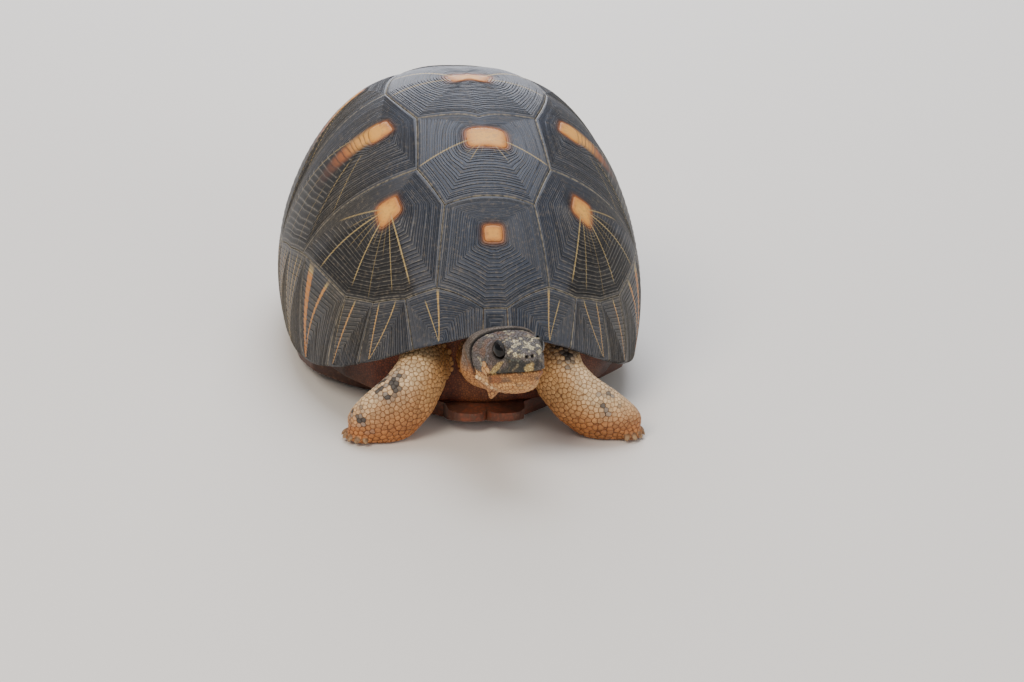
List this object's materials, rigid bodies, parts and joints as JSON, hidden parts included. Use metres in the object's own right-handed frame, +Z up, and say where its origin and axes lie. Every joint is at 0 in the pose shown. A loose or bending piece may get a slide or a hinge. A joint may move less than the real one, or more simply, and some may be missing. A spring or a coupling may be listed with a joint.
{
  "type": "radiated tortoise",
  "caption": "Adult radiated tortoise at life size, resting on its plastron with the head raised in front of a high domed shell, as a still museum model.",
  "frame": {"origin": "on the floor, under the middle of the whole model's box", "axes": "+Z up, the tortoise faces -Y, +X is its own left"},
  "size_m": [0.2358, 0.4068, 0.1871],
  "materials": {
    "shell_horn": "worn horn, satin",
    "plastron_horn": "worn horn, dusty",
    "skin": "dry scaly skin",
    "head_skin": "dry scaly skin, dark",
    "eye": "wet, glossy"
  },
  "bodies": {
    "root": {"vertebral_1": "shell_horn", "vertebral_2": "shell_horn", "vertebral_3": "shell_horn", "vertebral_4": "shell_horn", "vertebral_5": "shell_horn", "costal_left_1": "shell_horn", "costal_left_2": "shell_horn", "costal_left_3": "shell_horn", "costal_left_4": "shell_horn", "marginal_left_1": "shell_horn", "marginal_left_2": "shell_horn", "marginal_left_3": "shell_horn", "marginal_left_4": "shell_horn", "marginal_left_5": "shell_horn", "marginal_left_6": "shell_horn", "marginal_left_7": "shell_horn", "marginal_left_8": "shell_horn", "marginal_left_9": "shell_horn", "marginal_left_10": "shell_horn", "marginal_left_11": "shell_horn", "gular_left": "plastron_horn", "humeral_left": "plastron_horn", "pectoral_left": "plastron_horn", "abdominal_left": "plastron_horn", "femoral_left": "plastron_horn", "anal_left": "plastron_horn", "leg_front_left": "skin", "leg_hind_left": "skin", "eye_left": "eye", "costal_right_1": "shell_horn", "costal_right_2": "shell_horn", "costal_right_3": "shell_horn", "costal_right_4": "shell_horn", "marginal_right_1": "shell_horn", "marginal_right_2": "shell_horn", "marginal_right_3": "shell_horn", "marginal_right_4": "shell_horn", "marginal_right_5": "shell_horn", "marginal_right_6": "shell_horn", "marginal_right_7": "shell_horn", "marginal_right_8": "shell_horn", "marginal_right_9": "shell_horn", "marginal_right_10": "shell_horn", "marginal_right_11": "shell_horn", "gular_right": "plastron_horn", "humeral_right": "plastron_horn", "pectoral_right": "plastron_horn", "abdominal_right": "plastron_horn", "femoral_right": "plastron_horn", "anal_right": "plastron_horn", "leg_front_right": "skin", "leg_hind_right": "skin", "eye_right": "eye", "nuchal": "shell_horn", "supracaudal": "shell_horn", "trunk": "skin", "neck": "skin", "tail": "skin", "head": "head_skin", "lower_jaw": "skin"}
  },
  "joints": []
}
